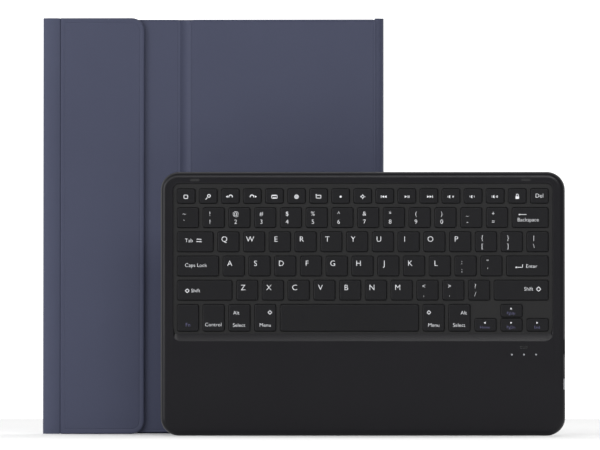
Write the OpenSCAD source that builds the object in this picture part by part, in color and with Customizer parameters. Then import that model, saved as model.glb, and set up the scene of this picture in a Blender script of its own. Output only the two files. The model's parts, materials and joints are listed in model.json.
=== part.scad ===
// Tablet keyboard case: a soft folio that stands closed on its short edge, and the thin wireless
// keyboard that docks inside it, stood upright in front of it. Millimetres, +Z up.
// The folio's front faces -Y. Its cover is two panels, its back carries a tray for the tablet,
// and a latch flap is folded back over the narrow front panel.

/* [Folio] */
// Width from the spine to the outer turn of the latch strip
folio_w = 238; // [200:1:300]
// Height of the spine, back cover and flap
folio_h = 292; // [250:1:340]
// Depth of the closed folio, outside of the front cover to outside of the back
closed_depth = 21; // [19:0.5:28]
// Distance of the fold between the two front panels from the middle of the folio, to the left
fold_offset = 20.3; // [5:0.1:35]
// Width of the latch flap
flap_w = 59; // [40:1:70]
// How far the front panels stop short of the flap's ends, top and bottom
panel_inset = 1; // [0:0.1:3]
// Corner radius of the flap's free edge
flap_r = 7; // [2:0.5:12]
// Corner radius of the cover panels
panel_r = 2; // [1:0.5:6]

/* [Cover layers] */
// Thickness of the outer skin
skin_t = 0.8; // [0.5:0.1:1.2]
// Thickness of the stiffening boards
board_t = 1.2; // [0.8:0.1:2]
// Thickness of the lining
lining_t = 0.6; // [0.3:0.1:1]
// Width of the skin that is turned in around a board
rim_w = 1.4; // [1:0.1:3]
// Distance of the lining's edge from a panel's edge
lining_inset = 1; // [0.5:0.1:2]
// Thickness of the soft latch strips
strip_t = 1.2; // [0.8:0.1:1.4]
// Thickness of the board in the spine
spine_board_t = 1.8; // [1.2:0.1:3]

/* [Tablet tray] */
// Width of the tablet
tablet_w = 214.9; // [180:0.1:220]
// Height of the tablet
tablet_h = 280.6; // [240:0.1:285]
// Thickness of the tablet
tablet_t = 6.1; // [5.5:0.1:7]
// Corner radius of the tablet
tablet_r = 11; // [5:0.5:18]
// Clearance round the tablet
tablet_fit = 0.3; // [0.1:0.1:0.6]
// Thickness of the tray's walls
tray_wall = 1.6; // [1.2:0.1:2]
// Thickness of the tray's floor
tray_floor = 1.2; // [0.8:0.1:1.6]
// Thickness of the lips that hold the tablet's corners
lip_t = 1; // [0.8:0.1:1.2]
// How far each corner lip reaches over the tablet
lip_reach = 1.4; // [0.8:0.1:2.5]
// Length of each corner lip along an edge
lip_len = 34; // [20:1:60]
// Side of the camera window
window_w = 38; // [24:1:50]
// Corner radius of the camera window
window_r = 9; // [4:0.5:12]
// Centre of the camera window from the tray's left side
window_x = 30; // [30:1:60]
// Centre of the camera window from the tray's lower end
window_z = 30; // [30:1:60]

/* [Keyboard] */
// Width of the keyboard
kb_w = 276; // [270:1:300]
// Height of the keyboard, front edge to back edge
kb_h = 180; // [160:1:200]
// Thickness of the keyboard's case
kb_t = 6; // [5.8:0.1:7]
// Corner radius of the keyboard
kb_r = 10.5; // [6:0.5:16]
// Thickness of the case's side walls
case_wall = 1.2; // [1:0.1:1.6]
// Thickness of the case's top
case_top = 1.2; // [1:0.1:1.2]
// Thickness of the base plate
base_t = 1; // [0.8:0.1:1.2]
// Thickness of the rubber feet
foot_t = 0.8; // [0.4:0.1:1.2]
// Width of the case at each side of the key well
side_bezel = 8.6; // [6:0.1:10]
// Width of the case above the key well
top_bezel = 7.9; // [7.5:0.1:12]
// Width of the sloped lip below the key well
lip_w = 5.5; // [3:0.1:8]
// Space between the keyboard's feet and the circle that the folded panel sweeps
stand_gap = 5; // [2:0.5:20]
// Left side of the keyboard, from the middle of the folio
kb_offset = -33; // [-60:1:20]

/* [Keys] */
// Width that one ordinary key takes up
unit = 17.57; // [17:0.01:17.7]
// Gap between neighbouring keys
key_gap = 3.1; // [2.8:0.1:4]
// Gap between neighbouring function keys
fn_gap = 2.9; // [2.5:0.1:4]
// Distance of the function keys from the keyboard's back edge
fn_row_top = 11.7; // [11:0.1:16]
// Height of a function key
fn_key_h = 9.8; // [8:0.1:10]
// Distance of the number keys from the keyboard's back edge
main_row_top = 24.6; // [24.4:0.1:30]
// Distance from one row of keys to the next
row_pitch = 16.5; // [15.8:0.1:16.6]
// Height of an ordinary key
key_h = 13.5; // [11:0.1:13.8]
// Height of the keys in the bottom row
bottom_key_h = 18.2; // [16:0.1:18.6]
// Gap between the up and down keys
half_gap = 1; // [0.8:0.1:1.6]
// Corner radius of a key
key_r = 1.3; // [0.8:0.1:2]
// Height of a keycap
cap_h = 2.1; // [1.9:0.1:2.4]
// How far the keys stand above the case
key_proud = 0.1; // [0:0.1:0.5]
// Travel of a key
key_travel = 1.3; // [0.8:0.1:1.3]
// Clearance between a key and its aperture
key_fit = 0.35; // [0.3:0.05:0.5]

/* [Power switch and charging socket] */
// Distance of the switch's middle from the keyboard's back edge
switch_at = 119.6; // [119:0.1:121]
// Length of the switch's knob
knob_l = 6; // [4:0.5:7]
// Travel of the switch's knob
knob_travel = 3; // [1.5:0.5:3]
// Distance of the charging socket from the keyboard's back edge
socket_at = 145; // [140:1:150]
// Width of the charging socket
socket_w = 7.6; // [7:0.1:9]
// Height of the charging socket
socket_h = 2.6; // [2.2:0.1:2.8]

/* [Hidden] */
$fn = 48;

// Colours
navy = [0.28, 0.30, 0.38];
navy_dark = [0.20, 0.21, 0.27];
board_grey = [0.55, 0.52, 0.47];
lining_grey = [0.36, 0.37, 0.41];
steel = [0.70, 0.71, 0.73];
black = [0.13, 0.13, 0.14];
key_black = [0.17, 0.17, 0.18];
rubber = [0.08, 0.08, 0.09];
film = [0.80, 0.80, 0.72];
board_green = [0.10, 0.32, 0.18];
cell_silver = [0.62, 0.63, 0.65];

// Running clearance between bodies, and slip between pieces of one body
run = 0.4;
slip = 0.1;
cut = 1; // how far a cutting shape runs past what it cuts

// Cover layers and the latch strip's folded run
panel_t = skin_t + board_t + lining_t;
hinge_gap = 0.3;                       // from a fold's axis to the pieces on each side
strip_rise = 0.2;                      // inner strip's front face behind the front plane
strip_axis_y = strip_rise + strip_t;   // axis at the narrow panel's edge
turn_y = (strip_rise - run) / 2;       // axis at the strip's U-turn
crease_y = -run - strip_t;             // axis between the outer strip and the flap
crease_step = 0.2;                     // that axis lies this far right of the first one
wrap_len = closed_depth + run + panel_t - strip_t - strip_axis_y; // both strips together
inner_run = (wrap_len - crease_step) / 2;

// Folio plan: x from the folio's middle, y from the front plane
spine_x = folio_w / 2;
turn_x = -folio_w / 2;
strip_axis_x = turn_x + inner_run;
crease_x = strip_axis_x + crease_step;
left_edge = strip_axis_x + run;        // left edge of the narrow panel and of the back cover
spine_t = skin_t + spine_board_t;
right_edge = spine_x - spine_t - hinge_gap;
fold_x = -fold_offset;
left_end = turn_x + hinge_gap;
back_y = closed_depth - panel_t;       // inside face of the back cover
panel_h = folio_h - 2 * panel_inset;

// Tablet tray, glued to the inside of the back cover
bay_w = tablet_w + 2 * tablet_fit;
bay_h = tablet_h + 2 * tablet_fit;
bay_d = tablet_t + tablet_fit;
bay_r = tablet_r + tablet_fit;
tray_w = bay_w + 2 * tray_wall;
tray_h = bay_h + 2 * tray_wall;
tray_d = tray_floor + bay_d + lip_t;
tray_x = (left_edge + right_edge - tray_w) / 2;
tray_z = (folio_h - tray_h) / 2;
tray_y = back_y - tray_d;              // the tray's open face

// Magnets and plates
magnet_t = 0.8;
magnet_l = 24;
magnet_w = 8;

// Keyboard stand-off, and the shift that puts the origin under the middle of everything
kb_y = -(fold_x - left_end) - foot_t - stand_gap;
key_top = kb_t + key_proud;
pad_proud = 0.2;
front_y = kb_y - kb_t - max(key_proud, pad_proud);
shift_x = -(min(left_end, kb_offset) + max(spine_x, kb_offset + kb_w)) / 2;
shift_y = -(front_y + closed_depth) / 2;

// Keyboard layers, from the back face outward
stack_w = unit * 14.57;                // width of the whole field of keys
field_x = (kb_w - stack_w) / 2;
deck_top = kb_t - case_top;
deck_t = 1;
deck_lap = 1.2;                        // how far the deck reaches under the case
plate_t = 0.6;
sheet_t = 0.3;
sheet_top = base_t + plate_t + sheet_t;
cap_bottom = key_top - cap_h;
cap_roof = 0.9;
cap_wall = 0.8;
boss_h = 0.6;
boss_r = 1.2;
dome_h = cap_bottom + cap_h - cap_roof - boss_h - key_travel - 0.2 - sheet_top;
dome_r = 1.6;
link_h = 1;
link_wall = 0.6;
well_h = main_row_top + 4 * row_pitch + bottom_key_h + 1.6 - top_bezel;
well_w = kb_w - 2 * side_bezel;
well_bottom = kb_h - top_bezel - well_h;
board_top = sheet_top;                 // the circuit board ends level with the membrane
bottom_row_top = main_row_top + 4 * row_pitch;
half_h = (bottom_key_h - half_gap) / 2;

// Every key: where it starts and how wide it is, in units
function run_of(first, count, pitch) = [for (i = [0:count - 1]) [first + i * pitch, pitch]];
fn_pitch = 14.57 / 17;
function_slots = run_of(0, 17, fn_pitch);
number_slots = run_of(0, 13, 1);
top_letter_slots = run_of(1.57, 13, 1);
home_letter_slots = run_of(1.78, 11, 1);
bottom_letter_slots = run_of(2.3, 10, 1);
backspace_slot = [13, 1.57];
tab_slot = [0, 1.57];
caps_slot = [0, 1.78];
enter_slot = [12.78, 1.79];
left_shift_slot = [0, 2.3];
right_shift_slot = [12.3, 2.27];
fn_slot = [0, 1];
control_slot = [1, 1];
left_alt_slot = [2, 1];
left_menu_slot = [3, 1];
space_slot = [4, 5.54];
right_menu_slot = [9.54, 1];
right_alt_slot = [10.54, 1];
arrow_left_slot = [11.55, 1];
arrow_middle_slot = [12.56, 1];
arrow_right_slot = [13.57, 1];

// A key's box in the keyboard's plan: [left, bottom, width, height]
function box_of(slot, top, height, gap) =
  [field_x + slot[0] * unit + gap / 2, kb_h - top - height, slot[1] * unit - gap, height];
function fn_boxes() = [for (s = function_slots) box_of(s, fn_row_top, fn_key_h, fn_gap)];
function main_box(slot, row) = box_of(slot, main_row_top + row * row_pitch, key_h, key_gap);
function main_boxes(slots, row) = [for (s = slots) main_box(s, row)];
function bottom_box(slot) = box_of(slot, bottom_row_top, bottom_key_h, key_gap);
function upper_half(slot) = box_of(slot, bottom_row_top, half_h, key_gap);
function lower_half(slot) = box_of(slot, bottom_row_top + half_h + half_gap, half_h, key_gap);
all_boxes = concat(
  fn_boxes(),
  main_boxes(number_slots, 0), [main_box(backspace_slot, 0)],
  [main_box(tab_slot, 1)], main_boxes(top_letter_slots, 1),
  [main_box(caps_slot, 2)], main_boxes(home_letter_slots, 2), [main_box(enter_slot, 2)],
  [main_box(left_shift_slot, 3)], main_boxes(bottom_letter_slots, 3),
  [main_box(right_shift_slot, 3)],
  [for (s = [fn_slot, control_slot, left_alt_slot, left_menu_slot, space_slot,
             right_menu_slot, right_alt_slot]) bottom_box(s)],
  [lower_half(arrow_left_slot), upper_half(arrow_middle_slot),
   lower_half(arrow_middle_slot), lower_half(arrow_right_slot)]
);

// ---------------------------------------------------------------- shared shapes

// Rectangle from the origin with four equal corners
module round_2d(w, h, r) {
  translate([r, 0]) square([w - 2 * r, h]);
  translate([0, r]) square([w, h - 2 * r]);
  for (x = [r, w - r]) for (y = [r, h - r]) translate([x, y]) circle(r);
}

// Rectangle whose left corners are nearly square and whose right corners are round
module flap_2d(w, h, r) {
  square([w - r, h]);
  translate([w - r - cut, r]) square([r + cut, h - 2 * r]);
  for (y = [r, h - r]) translate([w - r, y]) circle(r);
}

// A 2D outline in the folio's x and z, raised from y_front towards the back by t
module layer(y_front, t) {
  translate([shift_x, shift_y + y_front + t, 0]) rotate([90, 0, 0]) linear_extrude(t) children();
}

// Anything drawn with the keyboard lying flat, stood up in front of the folio
module on_keyboard() {
  translate([shift_x + kb_offset, shift_y + kb_y, 0]) rotate([90, 0, 0]) children();
}

// Blocks spread along z, for magnets and plates: one column at x, from y_front, t thick
module block_column(x, y_front, t, w, l, places) {
  for (z = places)
    translate([shift_x + x, shift_y + y_front, z - l / 2]) cube([w, t, l]);
}

// The lowest plate's middle, clear of the camera window by the margin
plate_margin = 8;
latch_low = tray_z + window_z + window_w / 2 + plate_margin + magnet_l / 2;
latch_places = [latch_low, folio_h / 2, folio_h - latch_low];
dock_places = [folio_h * 0.3, folio_h * 0.7];
latch_x = crease_x + flap_w - magnet_w - 12;
dock_x = right_edge - 40;

// A cover panel's skin: a sheet with its edges turned in around the board
module panel_skin(x0, x1, z0, h, y_front) {
  w = x1 - x0;
  difference() {
    layer(y_front, skin_t + board_t) translate([x0, z0]) round_2d(w, h, panel_r);
    layer(y_front + skin_t, board_t + cut)
      translate([x0 + rim_w, z0 + rim_w]) square([w - 2 * rim_w, h - 2 * rim_w]);
  }
}

module panel_board(x0, x1, z0, h, y_front) {
  layer(y_front + skin_t, board_t)
    translate([x0 + rim_w, z0 + rim_w]) square([x1 - x0 - 2 * rim_w, h - 2 * rim_w]);
}

module panel_lining(x0, x1, z0, h, y_front) {
  i = lining_inset;
  layer(y_front + skin_t + board_t, lining_t)
    translate([x0 + i, z0 + i]) round_2d(x1 - x0 - 2 * i, h - 2 * i, panel_r - i / 2);
}

// ---------------------------------------------------------------- folio

module wide_panel_skin() {
  color(navy) panel_skin(fold_x + hinge_gap, right_edge, panel_inset, panel_h, 0);
}

module wide_panel_board() {
  color(board_grey) difference() {
    panel_board(fold_x + hinge_gap, right_edge, panel_inset, panel_h, 0);
    block_column(dock_x, skin_t + board_t - magnet_t, magnet_t + cut, magnet_w, magnet_l,
                 dock_places);
  }
}

module wide_panel_lining() {
  color(lining_grey) panel_lining(fold_x + hinge_gap, right_edge, panel_inset, panel_h, 0);
}

module dock_magnets() {
  color(steel) block_column(dock_x, skin_t + board_t - magnet_t, magnet_t, magnet_w, magnet_l,
                            dock_places);
}

module narrow_panel_skin() {
  color(navy) panel_skin(left_edge, fold_x - hinge_gap, panel_inset, panel_h, 0);
}

module narrow_panel_board() {
  color(board_grey) panel_board(left_edge, fold_x - hinge_gap, panel_inset, panel_h, 0);
}

module narrow_panel_lining() {
  color(lining_grey) panel_lining(left_edge, fold_x - hinge_gap, panel_inset, panel_h, 0);
}

module spine_skin() {
  color(navy_dark) translate([shift_x + spine_x - skin_t, shift_y, 0])
    cube([skin_t, closed_depth, folio_h]);
}

module spine_board() {
  color(board_grey) translate([shift_x + spine_x - spine_t, shift_y, rim_w])
    cube([spine_board_t, closed_depth, folio_h - 2 * rim_w]);
}

// The camera window's outline, seen from the front
module window_2d() {
  translate([tray_x + window_x - window_w / 2, tray_z + window_z - window_w / 2])
    round_2d(window_w, window_w, window_r);
}

module back_cover_skin() {
  color(navy) difference() {
    layer(closed_depth - skin_t - board_t, skin_t + board_t)
      translate([left_edge, 0]) round_2d(right_edge - left_edge, folio_h, panel_r);
    layer(closed_depth - skin_t - board_t - cut, board_t + cut)
      translate([left_edge + rim_w, rim_w])
        square([right_edge - left_edge - 2 * rim_w, folio_h - 2 * rim_w]);
    layer(back_y - cut, panel_t + 2 * cut) window_2d();
  }
}

module back_cover_board() {
  color(board_grey) difference() {
    layer(closed_depth - skin_t - board_t, board_t)
      translate([left_edge + rim_w, rim_w])
        square([right_edge - left_edge - 2 * rim_w, folio_h - 2 * rim_w]);
    layer(back_y - cut, panel_t + 2 * cut) window_2d();
    block_column(latch_x, closed_depth - skin_t - magnet_t, magnet_t + cut, magnet_w, magnet_l,
                 latch_places);
  }
}

module back_cover_lining() {
  i = lining_inset;
  color(lining_grey) difference() {
    layer(back_y, lining_t) translate([left_edge + i, i])
      round_2d(right_edge - left_edge - 2 * i, folio_h - 2 * i, panel_r - i / 2);
    layer(back_y - cut, panel_t + 2 * cut) window_2d();
  }
}

// Steel plates in the back cover that the flap's magnets hold on to
module latch_plates() {
  color(steel) block_column(latch_x, closed_depth - skin_t - magnet_t, magnet_t, magnet_w,
                            magnet_l, latch_places);
}

// One corner lip, as an L that follows the bay's corner, in the tray's plan
module corner_lip_2d() {
  difference() {
    square([lip_len, lip_len]);
    translate([tray_wall + lip_reach, tray_wall + lip_reach])
      square([lip_len, lip_len]);
  }
}

module tray_outline_2d() {
  round_2d(tray_w, tray_h, bay_r + tray_wall);
}

// Cut-outs in the tray's walls: [middle along the wall, length]
end_slots = [[0.2, 26], [0.5, 16], [0.8, 26]];
side_slots = [[0.86, 34]];

module tablet_tray() {
  color(black) difference() {
    union() {
      layer(tray_y + lip_t, tray_d - lip_t) translate([tray_x, tray_z]) tray_outline_2d();
      layer(tray_y, lip_t) translate([tray_x, tray_z]) intersection() {
        tray_outline_2d();
        union() {
          corner_lip_2d();
          translate([tray_w, 0]) mirror([1, 0]) corner_lip_2d();
          translate([0, tray_h]) mirror([0, 1]) corner_lip_2d();
          translate([tray_w, tray_h]) mirror([1, 0]) mirror([0, 1]) corner_lip_2d();
        }
      }
    }
    layer(tray_y + lip_t, bay_d)
      translate([tray_x + tray_wall, tray_z + tray_wall]) round_2d(bay_w, bay_h, bay_r);
    layer(back_y - tray_floor - cut, tray_floor + 2 * cut) window_2d();
    for (s = end_slots)
      translate([shift_x + tray_x + s[0] * tray_w - s[1] / 2, shift_y + tray_y + lip_t + 1, -cut])
        cube([s[1], bay_d - 2, folio_h + 2 * cut]);
    for (s = side_slots)
      translate([shift_x + tray_x - cut, shift_y + tray_y + lip_t + 1,
                 tray_z + s[0] * tray_h - s[1] / 2])
        cube([tray_wall + 2 * cut, bay_d - 2, s[1]]);
  }
}

module strip_inner() {
  x0 = turn_x + hinge_gap;
  color(navy) layer(strip_rise, strip_t)
    translate([x0, 0]) square([strip_axis_x - hinge_gap - x0, folio_h]);
}

module strip_outer() {
  x0 = turn_x + hinge_gap;
  color(navy) layer(crease_y, strip_t)
    translate([x0, 0]) square([crease_x - hinge_gap - x0, folio_h]);
}

flap_x = crease_x + hinge_gap;
flap_y = -run - panel_t;

module flap_skin() {
  color(navy) difference() {
    layer(flap_y + lining_t, skin_t + board_t) translate([flap_x, 0]) flap_2d(flap_w, folio_h, flap_r);
    layer(flap_y + lining_t - cut, board_t + cut) translate([flap_x + rim_w, rim_w])
      flap_2d(flap_w - 2 * rim_w, folio_h - 2 * rim_w, flap_r - rim_w);
  }
}

module flap_board() {
  color(board_grey) difference() {
    layer(flap_y + lining_t, board_t) translate([flap_x + rim_w, rim_w])
      flap_2d(flap_w - 2 * rim_w, folio_h - 2 * rim_w, flap_r - rim_w);
    block_column(latch_x, flap_y + lining_t - cut, magnet_t + cut, magnet_w, magnet_l,
                 latch_places);
  }
}

module flap_lining() {
  i = lining_inset / 2;
  color(navy) layer(flap_y, lining_t) translate([flap_x + i, i])
    flap_2d(flap_w - 2 * i, folio_h - 2 * i, flap_r - i);
}

module flap_magnets() {
  color(steel) block_column(latch_x, flap_y + lining_t, magnet_t, magnet_w, magnet_l,
                            latch_places);
}

// ---------------------------------------------------------------- keyboard

// Screws: three along the back edge and three along the front edge
screw_r = 0.8;
screw_head_r = 1.5;
screw_head_h = 0.5;
screw_slip = 0.05;
post_r = 1.7;
post_inset = case_wall + 3.1;
screw_xs = [kb_w * 0.08, kb_w * 0.5, kb_w * 0.92];
screw_ys = [post_inset, kb_h - post_inset];

module at_screws() {
  for (x = screw_xs) for (y = screw_ys) translate([x, y, 0]) children();
}

module case_2d(inset) {
  translate([inset, inset]) round_2d(kb_w - 2 * inset, kb_h - 2 * inset, kb_r - inset);
}

// Power switch: a slot in the right side, and a shallow scoop around it
slot_l = knob_l + knob_travel + 2 * run;
slot_h = 2;
slot_z = 2.4;
scoop_l = slot_l + 5;
scoop_d = 0.5;
switch_y = kb_h - switch_at;

// Charging socket: a slot in the right side
socket_y = kb_h - socket_at;
socket_l = 8;
socket_x = kb_w - 0.4 - socket_l;

// Indicator lights and the dark window beside them, in the keyboard's plan
light_r = 0.5;
light_xs = [kb_w - 36.4, kb_w - 28.1, kb_w - 19.9];
light_y = kb_h - 124.8;
pill_w = 5.2;
pill_h = 1.6;
pill_x = kb_w - 28.3 - pill_w / 2;
pill_y = kb_h - 119.8 - pill_h / 2;

// Bumper pads
pad_w = 6.5;
pad_h = 1.8;
pad_depth = 0.6;
pad_xs = [kb_w * 0.085, kb_w * 0.903];
pad_y = kb_h - 5.7 - pad_h / 2;

module stadium_2d(w, h) {
  translate([h / 2, 0]) square([w - h, h]);
  for (x = [h / 2, w - h / 2]) translate([x, h / 2]) circle(h / 2);
}

module top_case() {
  color(black) on_keyboard() difference() {
    union() {
      difference() {
        linear_extrude(kb_t) case_2d(0);
        translate([0, 0, -cut]) linear_extrude(deck_top + cut) case_2d(case_wall);
      }
      // rib that backs the sloped lip
      translate([side_bezel, well_bottom - lip_w - case_wall, deck_top - deck_t])
        cube([well_w, lip_w + case_wall, deck_t + cut / 4]);
      at_screws() translate([0, 0, base_t]) cylinder(h = deck_top - base_t + cut / 4, r = post_r);
    }
    // key well and the slope below it
    translate([side_bezel, well_bottom, -cut])
      linear_extrude(kb_t + 2 * cut) round_2d(well_w, well_h, key_r);
    translate([side_bezel, 0, 0]) rotate([90, 0, 90]) linear_extrude(well_w)
      polygon([[well_bottom - lip_w, kb_t], [well_bottom + slip, deck_top],
               [well_bottom + slip, kb_t + cut], [well_bottom - lip_w, kb_t + cut]]);
    at_screws() translate([0, 0, -cut]) cylinder(h = deck_top, r = screw_r + screw_slip);
    // side slots for the switch and the socket
    translate([kb_w - case_wall - cut, switch_y - slot_l / 2, slot_z])
      cube([case_wall + 2 * cut, slot_l, slot_h]);
    translate([kb_w - scoop_d, switch_y - scoop_l / 2, slot_z - 0.6])
      cube([cut, scoop_l, slot_h + 1.2]);
    translate([kb_w - case_wall - cut, socket_y - socket_w / 2 - slip, board_top - slip])
      cube([case_wall + 2 * cut, socket_w + 2 * slip, socket_h + 2 * slip]);
    // lights, window and pads in the top
    for (x = light_xs) translate([x, light_y, -cut])
      cylinder(h = kb_t + 2 * cut, r = light_r + screw_slip);
    translate([pill_x - slip, pill_y - slip, kb_t - pad_depth])
      linear_extrude(cut * 2) stadium_2d(pill_w + 2 * slip, pill_h + 2 * slip);
    for (x = pad_xs) translate([x - pad_w / 2 - slip, pad_y - slip, kb_t - pad_depth])
      linear_extrude(cut * 2) stadium_2d(pad_w + 2 * slip, pad_h + 2 * slip);
  }
}

// The web between the keys
module key_deck() {
  color(black) on_keyboard() translate([0, 0, deck_top - deck_t]) difference() {
    translate([side_bezel - deck_lap, well_bottom]) cube([well_w + 2 * deck_lap,
                                                        well_h + deck_lap, deck_t]);
    for (b = all_boxes) translate([b[0] - key_fit, b[1] - key_fit, -cut])
      linear_extrude(deck_t + 2 * cut)
        round_2d(b[2] + 2 * key_fit, b[3] + 2 * key_fit, key_r + key_fit);
  }
}

module keyboard_base() {
  color(black) on_keyboard() difference() {
    linear_extrude(base_t) case_2d(case_wall + slip);
    at_screws() translate([0, 0, -cut]) cylinder(h = base_t + 2 * cut, r = screw_r + screw_slip);
    at_screws() translate([0, 0, -cut])
      cylinder(h = screw_head_h + cut, r = screw_head_r + screw_slip);
  }
}

module support_plate() {
  color(steel) on_keyboard() translate([side_bezel, well_bottom, base_t])
    cube([well_w, well_h, plate_t]);
}

module membrane_sheet() {
  color(film) on_keyboard() translate([side_bezel, well_bottom, base_t + plate_t])
    cube([well_w, well_h, sheet_t]);
}

module rubber_domes() {
  color(rubber) on_keyboard() for (b = all_boxes)
    translate([b[0] + b[2] / 2, b[1] + b[3] / 2, sheet_top]) cylinder(h = dome_h, r = dome_r);
}

// One link: a frame with a bar at each side of the dome
module link_frame(w, h) {
  difference() {
    cube([w, h, link_h]);
    translate([link_wall, link_wall, -cut])
      cube([w - 2 * link_wall, h - 2 * link_wall, link_h + 2 * cut]);
  }
  for (x = [w * 0.22, w * 0.78])
    translate([x - link_wall / 2, link_wall / 2, 0]) cube([link_wall, h - link_wall, link_h]);
}

module scissor_links() {
  color(film) on_keyboard() for (b = all_boxes) {
    w = min(b[2], unit - key_gap) - 4.2;
    h = min(b[3], key_h) - 3.6;
    translate([b[0] + (b[2] - w) / 2, b[1] + (b[3] - h) / 2, sheet_top]) link_frame(w, h);
  }
}

// Main board under the palm rest, with an ear along the right side for the socket and switch
pcb_x = kb_w - 100;
pcb_w = 86;
pcb_y = kb_h - 162;
pcb_h = 39;
ear_w = 8;
ear_y = kb_h - 152;
ear_top = well_bottom - case_wall;
chip_h = 1.2;

module circuit_board() {
  color(board_green) on_keyboard() translate([0, 0, base_t]) {
    translate([pcb_x, pcb_y, 0]) cube([pcb_w, pcb_h, board_top - base_t]);
    translate([pcb_x + pcb_w - slip, ear_y, 0])
      cube([ear_w + slip, ear_top - ear_y, board_top - base_t]);
    for (c = [[8, 6, 12], [30, 18, 9], [52, 6, 14]])
      translate([pcb_x + c[0], pcb_y + c[1], board_top - base_t - slip])
        cube([c[2], c[2], chip_h + slip]);
  }
}

module battery_cell() {
  color(cell_silver) on_keyboard() translate([24, kb_h - 168, base_t])
    linear_extrude(3.2) round_2d(140, 44, 3);
}

module flat_cable() {
  color(film) on_keyboard()
    translate([kb_w - 84, pcb_y + pcb_h - 4, board_top]) cube([16, well_bottom - pcb_y - pcb_h + 5, 0.2]);
}

module charging_socket() {
  shell = 0.4;
  color(steel) on_keyboard() translate([socket_x, socket_y - socket_w / 2, board_top])
    difference() {
      cube([socket_l, socket_w, socket_h]);
      translate([2, shell, shell]) cube([socket_l, socket_w - 2 * shell, socket_h - 2 * shell]);
      // leaves the contact tongue standing
      translate([1, shell, socket_h / 2 + 0.2]) cube([2, 1, socket_h / 2 - shell - 0.2]);
    }
}

switch_face = kb_w - case_wall - 1.9;

module switch_body() {
  color(steel) on_keyboard()
    translate([switch_face - 4.5, switch_y - slot_l / 2 - 0.5, board_top])
      cube([4.5, slot_l + 1, deck_top - board_top - slip]);
}

// The knob sits at the upper end of its slot and slides down to switch off
module power_switch_knob() {
  knob_h = slot_h - 2 * hinge_gap;
  color(key_black) on_keyboard()
    translate([switch_face + hinge_gap, switch_y + slot_l / 2 - run - knob_l, slot_z + hinge_gap])
      cube([kb_w - 0.1 - switch_face - hinge_gap, knob_l, knob_h]);
}

module indicator_lights() {
  color([0.85, 0.88, 0.9]) on_keyboard() {
    for (x = light_xs) translate([x, light_y, board_top])
      cylinder(h = kb_t - board_top, r = light_r);
    translate([pill_x, pill_y, kb_t - pad_depth]) linear_extrude(pad_depth - slip)
      stadium_2d(pill_w, pill_h);
  }
}

module bumper_pads() {
  color(rubber) on_keyboard() for (x = pad_xs)
    translate([x - pad_w / 2, pad_y, kb_t - pad_depth])
      linear_extrude(pad_depth + pad_proud) stadium_2d(pad_w, pad_h);
}

module base_feet() {
  foot_l = 44;
  foot_w = 4;
  color(rubber) on_keyboard()
    for (x = [16, kb_w - 16 - foot_l]) for (y = [10, kb_h - 10 - foot_w])
      translate([x, y, -foot_t]) linear_extrude(foot_t) stadium_2d(foot_l, foot_w);
}

module base_screws() {
  color(steel) on_keyboard() at_screws() {
    cylinder(h = screw_head_h, r = screw_head_r);
    translate([0, 0, screw_head_h - 0.1]) cylinder(h = 2.6, r = screw_r);
  }
}

module keyboard_magnets() {
  color(steel) on_keyboard()
    for (x = [kb_w * 0.26, kb_w * 0.74 - magnet_l])
      translate([x, case_wall + 1.4, base_t]) cube([magnet_l, magnet_w / 2, 2]);
}

// ---------------------------------------------------------------- keys

// A keycap: open underneath, with a boss over its dome
module keycap(box) {
  i = cap_wall;
  translate([box[0], box[1], cap_bottom]) {
    difference() {
      linear_extrude(cap_h) round_2d(box[2], box[3], key_r);
      translate([i, i, -cut]) linear_extrude(cap_h - cap_roof + cut)
        round_2d(box[2] - 2 * i, box[3] - 2 * i, key_r - i / 2);
    }
    translate([box[2] / 2, box[3] / 2, cap_h - cap_roof - boss_h])
      cylinder(h = boss_h + 0.2, r = boss_r);
  }
}

module keys(boxes) {
  color(key_black) on_keyboard() for (b = boxes) keycap(b);
}

module space_bar() { keys([bottom_box(space_slot)]); }
module left_shift_key() { keys([main_box(left_shift_slot, 3)]); }
module right_shift_key() { keys([main_box(right_shift_slot, 3)]); }
module enter_key() { keys([main_box(enter_slot, 2)]); }
module caps_lock_key() { keys([main_box(caps_slot, 2)]); }
module tab_key() { keys([main_box(tab_slot, 1)]); }
module backspace_key() { keys([main_box(backspace_slot, 0)]); }
module fn_key() { keys([bottom_box(fn_slot)]); }
module control_key() { keys([bottom_box(control_slot)]); }
module left_alt_key() { keys([bottom_box(left_alt_slot)]); }
module left_menu_key() { keys([bottom_box(left_menu_slot)]); }
module right_menu_key() { keys([bottom_box(right_menu_slot)]); }
module right_alt_key() { keys([bottom_box(right_alt_slot)]); }
module arrow_left_key() { keys([lower_half(arrow_left_slot)]); }
module arrow_up_key() { keys([upper_half(arrow_middle_slot)]); }
module arrow_down_key() { keys([lower_half(arrow_middle_slot)]); }
module arrow_right_key() { keys([lower_half(arrow_right_slot)]); }
module function_keys() { keys(fn_boxes()); }
module number_keys() { keys(main_boxes(number_slots, 0)); }
module top_letter_keys() { keys(main_boxes(top_letter_slots, 1)); }
module home_letter_keys() { keys(main_boxes(home_letter_slots, 2)); }
module bottom_letter_keys() { keys(main_boxes(bottom_letter_slots, 3)); }

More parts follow.
